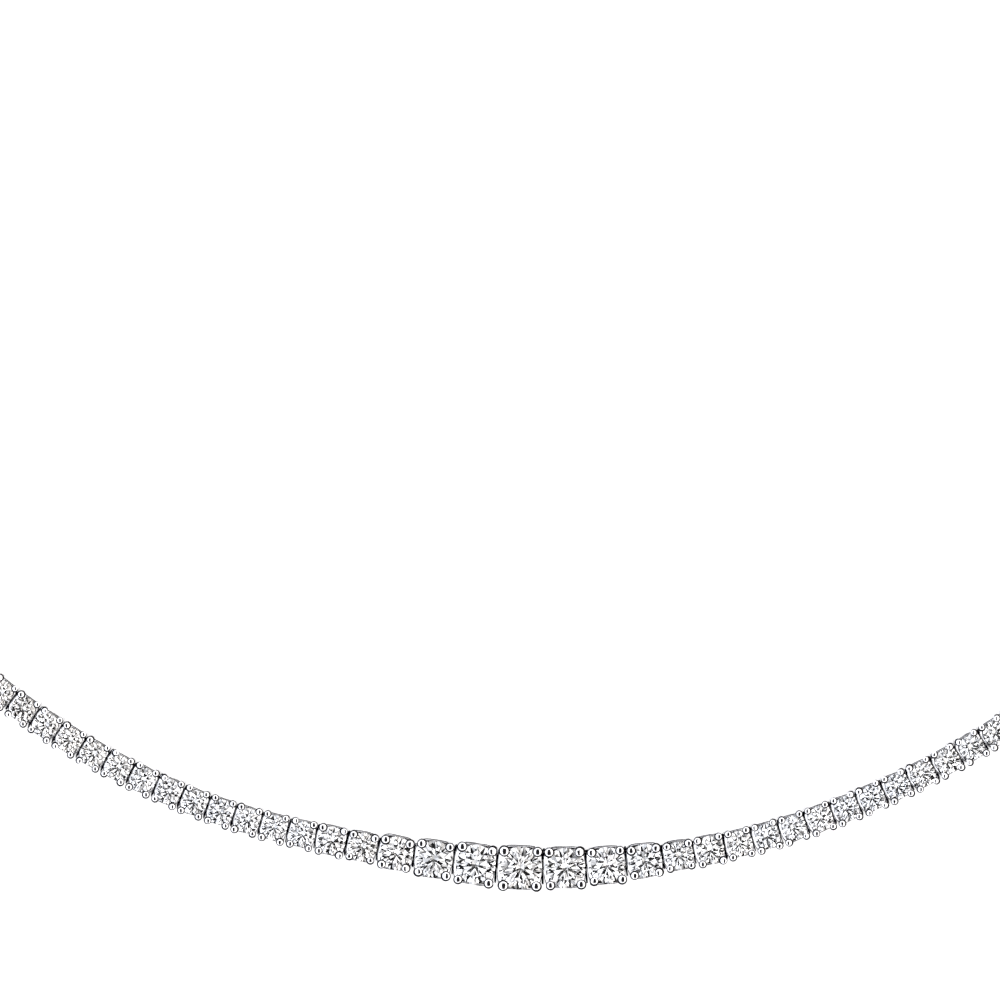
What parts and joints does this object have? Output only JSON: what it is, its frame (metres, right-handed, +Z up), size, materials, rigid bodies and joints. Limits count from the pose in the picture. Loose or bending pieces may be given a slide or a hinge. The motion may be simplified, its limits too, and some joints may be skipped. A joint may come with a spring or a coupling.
{
  "type": "riviere necklace",
  "caption": "Closed riviere necklace of round brilliants in four-prong links that grow towards the front, lying flat, with a plain box clasp.",
  "frame": {"origin": "on the surface that the necklace lies on, under the middle of its box", "axes": "+Z up, through the stones' tables; the centre stone at the front, towards -Y; the clasp at the back, towards +Y; +X to the right as seen from above"},
  "size_m": [0.1406, 0.1242, 0.0029],
  "materials": {
    "white_metal": "polished white gold",
    "stones": "cut and polished colourless diamond"
  },
  "bodies": {
    "root": {"centre_setting": "white_metal", "centre_stone": "stones", "left_setting_1": "white_metal", "left_setting_2": "white_metal", "left_setting_3": "white_metal", "left_setting_4": "white_metal", "left_setting_5": "white_metal", "left_setting_6": "white_metal", "left_setting_7": "white_metal", "left_setting_8": "white_metal", "left_setting_9": "white_metal", "left_stone_1": "stones", "left_stone_2": "stones", "left_stone_3": "stones", "left_stone_4": "stones", "left_stone_5": "stones", "left_stone_6": "stones", "left_stone_7": "stones", "left_stone_8": "stones", "left_stone_9": "stones", "right_setting_1": "white_metal", "right_setting_2": "white_metal", "right_setting_3": "white_metal", "right_setting_4": "white_metal", "right_setting_5": "white_metal", "right_setting_6": "white_metal", "right_setting_7": "white_metal", "right_setting_8": "white_metal", "right_setting_9": "white_metal", "right_stone_1": "stones", "right_stone_2": "stones", "right_stone_3": "stones", "right_stone_4": "stones", "right_stone_5": "stones", "right_stone_6": "stones", "right_stone_7": "stones", "right_stone_8": "stones", "right_stone_9": "stones", "left_side_settings": "white_metal", "left_side_stones": "stones", "right_side_settings": "white_metal", "right_side_stones": "stones", "left_back_links": "white_metal", "right_back_links": "white_metal", "clasp": "white_metal"}
  },
  "joints": []
}
